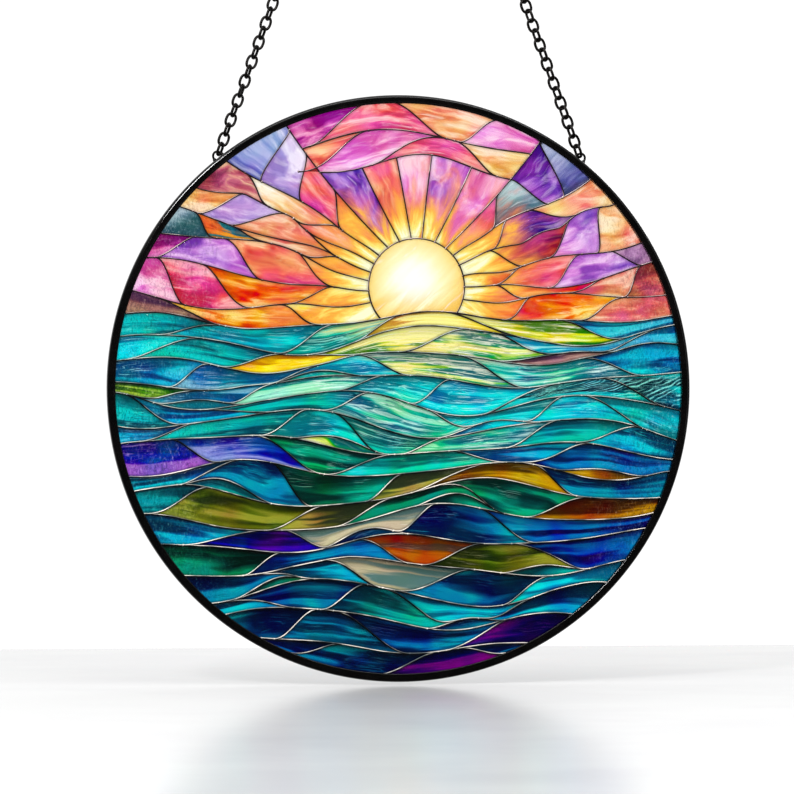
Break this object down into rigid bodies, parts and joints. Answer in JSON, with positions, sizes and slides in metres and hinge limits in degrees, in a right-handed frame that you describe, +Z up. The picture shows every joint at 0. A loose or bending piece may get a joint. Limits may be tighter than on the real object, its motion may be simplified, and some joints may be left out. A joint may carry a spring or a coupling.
{
  "type": "stained glass suncatcher",
  "caption": "Round leaded glass disc with a sunset over waves, held in a thin black channel rim and hung by two link chains from one wire ring.",
  "frame": {"origin": "inside top of the wire ring, where a hook bears", "axes": "+Z up, the disc stands in the XZ plane and its front faces -Y; +X is to the right seen from the front"},
  "size_m": [0.3, 0.007, 0.5332],
  "materials": {
    "rim": "glossy black",
    "leading": "dark pewter solder with bright edges",
    "chain": "dark bronze-black plating, semi-gloss",
    "glass_sun": "pale yellow opalescent glass",
    "glass_rays": "streaky glass, amber at the sun to pink",
    "glass_sky": "streaky pink, violet and orange glass",
    "glass_sea": "streaky teal, blue and violet glass"
  },
  "bodies": {
    "root": {"hanging_ring": "chain", "chain_left": "chain", "chain_right": "chain", "eye_left": "chain", "eye_right": "chain", "rim": "rim", "leading": "leading", "glass_crest_10": "glass_sea", "glass_crest_11": "glass_sea", "glass_crest_12": "glass_sea", "glass_crest_13": "glass_sea", "glass_crest_2": "glass_sea", "glass_crest_3": "glass_sea", "glass_crest_4": "glass_sea", "glass_crest_5": "glass_sea", "glass_crest_6": "glass_sea", "glass_crest_7": "glass_sea", "glass_crest_8": "glass_sea", "glass_crest_9": "glass_sea", "glass_crown": "glass_sky", "glass_garland": "glass_sky", "glass_ray_1": "glass_rays", "glass_ray_2": "glass_rays", "glass_ray_3": "glass_rays", "glass_ray_4": "glass_rays", "glass_ray_5": "glass_rays", "glass_sky_left_1": "glass_sky", "glass_sky_left_2": "glass_sky", "glass_sky_left_3": "glass_sky", "glass_sky_left_4": "glass_sky", "glass_sky_left_5": "glass_sky", "glass_sky_left_6": "glass_sky", "glass_sky_left_7": "glass_sky", "glass_sky_right_1": "glass_sky", "glass_sky_right_2": "glass_sky", "glass_sky_right_3": "glass_sky", "glass_sky_right_4": "glass_sky", "glass_sky_right_5": "glass_sky", "glass_sky_right_6": "glass_sky", "glass_sun": "glass_sun", "glass_wave_1": "glass_sea", "glass_wave_10": "glass_sea", "glass_wave_11": "glass_sea", "glass_wave_12": "glass_sea", "glass_wave_13": "glass_sea", "glass_wave_14": "glass_sea", "glass_wave_15": "glass_sea", "glass_wave_2": "glass_sea", "glass_wave_3": "glass_sea", "glass_wave_4": "glass_sea", "glass_wave_5": "glass_sea", "glass_wave_6": "glass_sea", "glass_wave_7": "glass_sea", "glass_wave_8": "glass_sea", "glass_wave_9": "glass_sea"}
  },
  "joints": []
}
